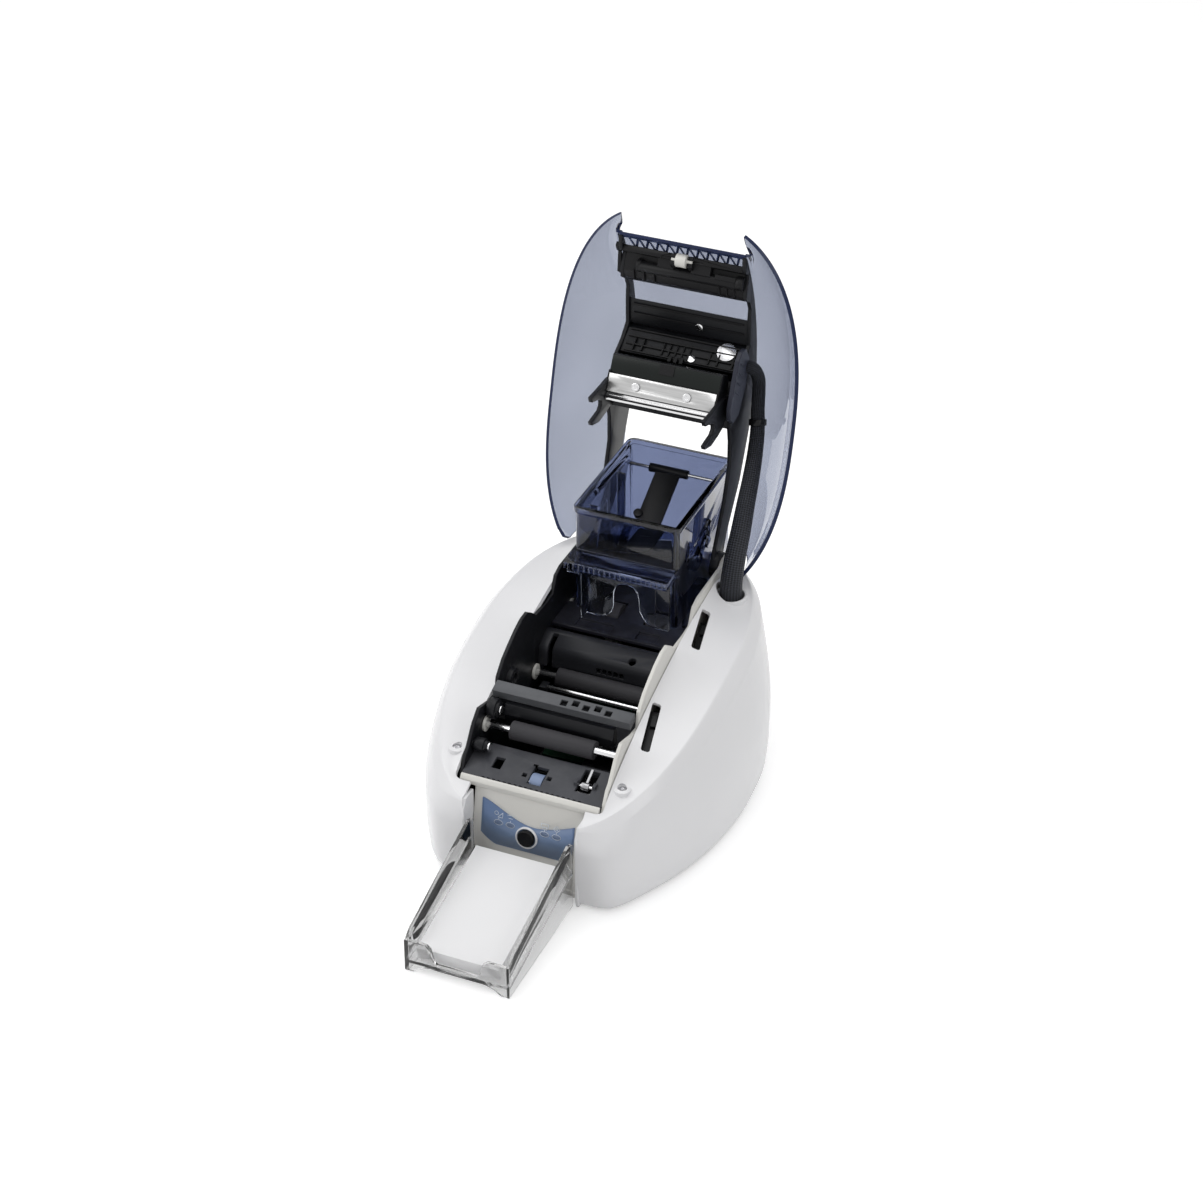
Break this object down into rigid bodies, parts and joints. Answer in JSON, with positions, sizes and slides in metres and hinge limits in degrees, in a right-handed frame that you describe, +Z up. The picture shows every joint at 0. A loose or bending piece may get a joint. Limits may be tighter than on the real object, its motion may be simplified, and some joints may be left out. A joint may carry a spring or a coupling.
{
  "type": "card printer",
  "caption": "Desktop card printer with its hinged translucent cover open over a narrow print channel, with a print head, rollers, a card hopper and a card tray.",
  "frame": {"origin": "on the table, under the middle of the bounds of the part with its cover open", "axes": "+Z up, front towards -Y, +X on the right seen from the front"},
  "size_m": [0.2018, 0.3781, 0.3457],
  "materials": {
    "white_plastic": "gloss",
    "cream_plastic": "satin",
    "black_plastic": "satin",
    "gloss_black_plastic": "gloss",
    "blue_clear_plastic": "translucent gloss",
    "smoky_clear_plastic": "translucent gloss",
    "blue_label": "printed film",
    "lens_plastic": "gloss",
    "dark_label": "printed film",
    "board": "satin",
    "steel": "brushed",
    "bright_steel": "polished",
    "aluminium_plate": "satin",
    "black_rubber": "matt",
    "blue_rubber": "matt",
    "white_bushing": "satin",
    "braid": "braided",
    "card_plastic": "gloss"
  },
  "bodies": {
    "body": {"base_pan": "black_plastic", "rubber_feet": "black_rubber", "left_cover": "white_plastic", "right_cover": "white_plastic", "cover_screws": "steel", "left_side_plate": "black_plastic", "right_side_plate": "cream_plastic", "front_panel": "cream_plastic", "panel_label": "blue_label", "status_lenses": "lens_plastic", "button_bezel": "white_plastic", "control_board": "board", "main_board": "board", "card_path_plate": "black_plastic", "crossmember": "black_plastic", "head_bay": "black_plastic", "guide_ridge": "black_plastic", "hopper_deck": "black_plastic", "steel_rod": "steel", "roller_bushings": "white_bushing", "spool_pins": "steel", "drive_motor": "steel", "front_belt": "black_rubber", "rear_belt": "black_rubber", "rear_panel": "white_plastic", "power_inlet": "black_plastic", "usb_socket": "steel", "input_hopper": "blue_clear_plastic", "gauge_plate": "smoky_clear_plastic", "hinge_pins": "steel", "flap_pin": "steel", "lever_pin": "steel", "cable_sleeve": "braid"},
    "cover": {"lid_shell": "blue_clear_plastic", "lid_ribs": "blue_clear_plastic", "lid_frame": "black_plastic", "lid_beams": "black_plastic", "lid_screws": "steel", "lid_disc": "bright_steel", "pinch_bar": "black_plastic", "cable_tie": "black_plastic"},
    "print_head": {"head_carrier": "black_plastic", "head_label": "dark_label", "head_plate": "aluminium_plate", "heater_bar": "bright_steel", "head_screws": "steel"},
    "tray": {"output_tray": "smoky_clear_plastic", "card_stack": "card_plastic"},
    "pinch_roller": {"pinch_roller": "white_bushing"},
    "front_button": {"front_button": "gloss_black_plastic"},
    "power_switch": {"power_switch": "black_plastic"},
    "transport_roller": {"transport_roller": "black_rubber"},
    "drive_roller": {"drive_roller": "blue_rubber"},
    "print_platen": {"print_platen": "black_rubber"},
    "feed_roller": {"feed_roller": "black_rubber"},
    "motor_pulleys": {"motor_pulleys": "steel"},
    "front_spool_hub": {"front_spool_hub": "black_plastic"},
    "rear_spool_hub": {"rear_spool_hub": "black_plastic"},
    "sensor_lever": {"sensor_lever": "bright_steel"},
    "card_press_flap": {"card_press_flap": "black_plastic"}
  },
  "joints": [
    {"name": "cover_hinge", "type": "hinge", "parent": "body", "child": "cover", "pos_m": [0, 0.121, 0.126], "axis": [1, 0, 0], "range_deg": [0, 116], "deforming": ["cable_sleeve"]},
    {"name": "head_slide", "type": "slide", "parent": "cover", "child": "print_head", "axis": [0, 0.8988, -0.4384], "range_m": [0, 0.0015], "stiffness_N_per_m": 900, "springref_m": -0.002},
    {"name": "pinch_spin", "type": "hinge", "parent": "cover", "child": "pinch_roller", "pos_m": [0, 0.15968, 0.31798], "axis": [1, 0, 0], "continuous": true},
    {"name": "feed_spin", "type": "hinge", "parent": "body", "child": "feed_roller", "pos_m": [0, 0.088, 0.0905], "axis": [1, 0, 0], "continuous": true},
    {"name": "motor_spin", "type": "hinge", "parent": "body", "child": "motor_pulleys", "pos_m": [0, -0.01, 0.038], "axis": [1, 0, 0], "continuous": true},
    {"name": "transport_spin", "type": "hinge", "parent": "body", "child": "transport_roller", "pos_m": [0, -0.044, 0.083], "axis": [1, 0, 0], "continuous": true},
    {"name": "drive_spin", "type": "hinge", "parent": "body", "child": "drive_roller", "pos_m": [0, -0.068, 0.0655], "axis": [1, 0, 0], "continuous": true},
    {"name": "platen_spin", "type": "hinge", "parent": "body", "child": "print_platen", "pos_m": [0, 0.031, 0.0746], "axis": [1, 0, 0], "continuous": true},
    {"name": "front_spool_spin", "type": "hinge", "parent": "body", "child": "front_spool_hub", "pos_m": [-0.0417, -0.061, 0.0792], "axis": [1, 0, 0], "continuous": true},
    {"name": "rear_spool_spin", "type": "hinge", "parent": "body", "child": "rear_spool_hub", "pos_m": [-0.0417, -0.0395, 0.0925], "axis": [1, 0, 0], "continuous": true},
    {"name": "button_press", "type": "slide", "parent": "body", "child": "front_button", "axis": [0, 0.9842, -0.1771], "range_m": [0, 0.0012], "stiffness_N_per_m": 400, "springref_m": -0.001},
    {"name": "switch_rock", "type": "hinge", "parent": "body", "child": "power_switch", "pos_m": [0.009, 0.1598, 0.052], "axis": [1, 0, 0], "range_deg": [-16, 0]},
    {"name": "lever_swing", "type": "hinge", "parent": "body", "child": "sensor_lever", "pos_m": [0.031, -0.066, 0.0715], "axis": [1, 0, 0], "range_deg": [-6, 0], "stiffness_Nm_per_rad": 0.004, "springref_deg": 8.59},
    {"name": "flap_swing", "type": "hinge", "parent": "body", "child": "card_press_flap", "pos_m": [-0.006, 0.158, 0.164], "axis": [1, 0, 0], "range_deg": [-30, 0]},
    {"name": "tray_slide", "type": "slide", "parent": "body", "child": "tray", "axis": [0, -1, 0], "range_m": [0, 0.06]}
  ],
  "couplings": [
    {"joint": "motor_spin", "follows": "feed_spin", "ratio": 1.5},
    {"joint": "transport_spin", "follows": "feed_spin", "ratio": 1.5},
    {"joint": "drive_spin", "follows": "feed_spin", "ratio": 1.3846},
    {"joint": "platen_spin", "follows": "feed_spin", "ratio": 1.5}
  ]
}
